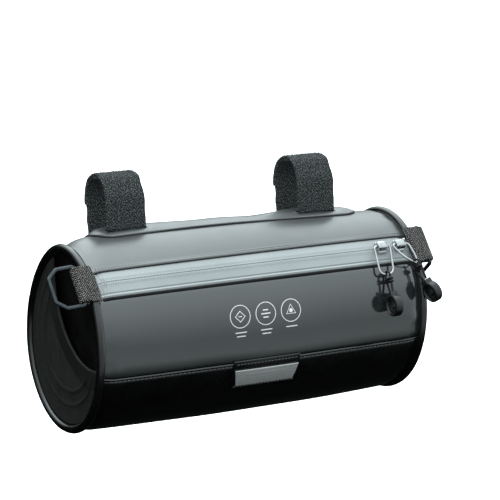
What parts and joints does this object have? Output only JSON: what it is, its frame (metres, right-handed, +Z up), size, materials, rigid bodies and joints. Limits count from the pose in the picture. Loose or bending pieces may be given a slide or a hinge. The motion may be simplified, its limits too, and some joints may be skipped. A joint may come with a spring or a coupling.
{
  "type": "bicycle handlebar bag",
  "caption": "Roll-shaped zipped bag that hangs under a bicycle handlebar by two hook-and-loop straps, with a D-ring on each end for a shoulder strap.",
  "frame": {"origin": "centre of the handlebar that the bag hangs from, midway between its two straps", "axes": "+X along the handlebar and the bag, to the right as seen from the front; -Y to the front; +Z up"},
  "size_m": [0.2875, 0.1423, 0.175],
  "materials": {
    "coated_grey": "satin coated fabric",
    "zip_grey": "satin film over zip tape",
    "gloss_black": "glossy coated fabric",
    "mesh_black": "ribbed stretch mesh",
    "hook_and_loop": "matt loop pile",
    "webbing": "woven webbing",
    "ring_grey": "gunmetal",
    "silver": "polished nickel",
    "pull_black": "moulded, with braided cord",
    "reflective": "retroreflective film"
  },
  "bodies": {
    "bag": {"top_panel": "coated_grey", "front_panel": "coated_grey", "lower_panel": "gloss_black", "zip_tape_upper": "zip_grey", "zip_tape_lower": "zip_grey", "piping_left": "gloss_black", "piping_right": "gloss_black", "end_cap_left": "gloss_black", "end_cap_right": "gloss_black", "mesh_pocket_left": "mesh_black", "mesh_pocket_right": "mesh_black", "mount_strip": "coated_grey", "strap_left": "hook_and_loop", "strap_right": "hook_and_loop", "webbing_left": "webbing", "webbing_right": "webbing", "zip_slider_1": "silver", "zip_slider_2": "silver", "pull_ring_1": "silver", "pull_ring_2": "silver", "pull_cord_1": "pull_black", "pull_cord_2": "pull_black", "pull_end_1": "pull_black", "pull_end_2": "pull_black", "reflector_tab": "gloss_black", "reflector_patch": "reflective"},
    "dring_left": {"dring_left": "ring_grey"},
    "dring_right": {"dring_right": "ring_grey"}
  },
  "joints": [
    {"name": "dring_left_swing", "type": "hinge", "parent": "bag", "child": "dring_left", "pos_m": [-0.1283, -0.06209, -0.04082], "axis": [0, -0.677, -0.7359], "range_deg": [-125, 85]},
    {"name": "dring_right_swing", "type": "hinge", "parent": "bag", "child": "dring_right", "pos_m": [0.1363, -0.06306, -0.03987], "axis": [0, 0.6507, 0.7593], "range_deg": [-162, 5]}
  ]
}
